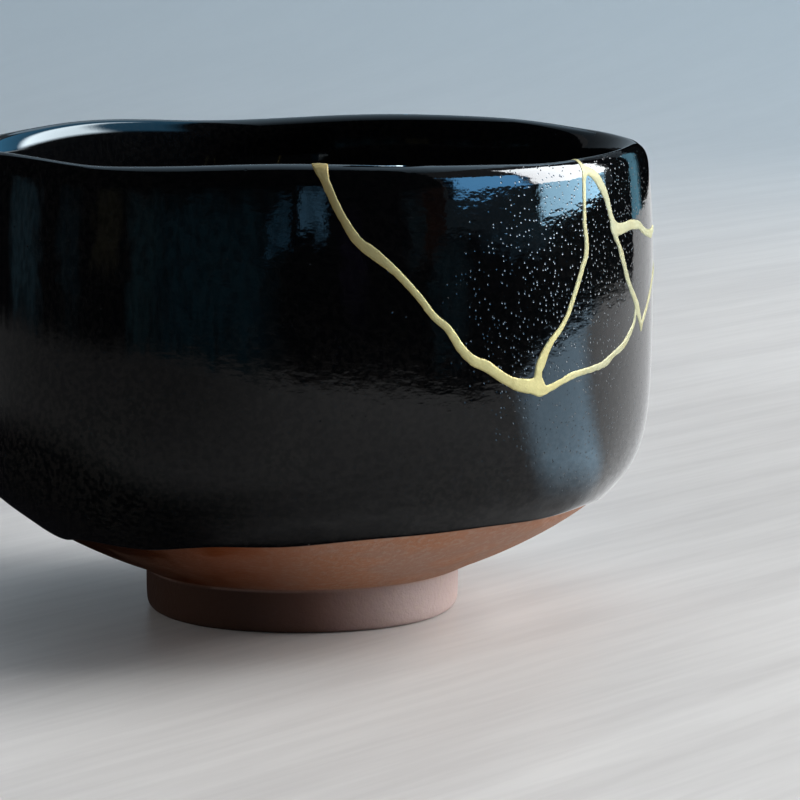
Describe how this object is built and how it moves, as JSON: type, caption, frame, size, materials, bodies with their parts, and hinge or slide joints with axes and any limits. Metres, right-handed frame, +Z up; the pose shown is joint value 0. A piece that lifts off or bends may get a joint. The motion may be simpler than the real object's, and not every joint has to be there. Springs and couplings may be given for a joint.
{
  "type": "kintsugi tea bowl",
  "caption": "Hand-shaped black-glazed tea bowl on a bare clay foot, its broken rim joined again with raised gold seams.",
  "frame": {"origin": "on the surface the bowl stands on, under the middle of the bowl, at the centre of its foot ring", "axes": "+Z up along the bowl's turning axis, towards the rim; -Y is the front, and the gold seams lie from the front round towards +X"},
  "size_m": [0.1214, 0.1212, 0.0817],
  "materials": {
    "black_glaze": "gloss",
    "gold_lacquer": "satin"
  },
  "bodies": {
    "root": {"bowl_body": "black_glaze", "front_sherd": "black_glaze", "narrow_sherd": "black_glaze", "side_sherd": "black_glaze", "gold_seam": "gold_lacquer"}
  },
  "joints": []
}
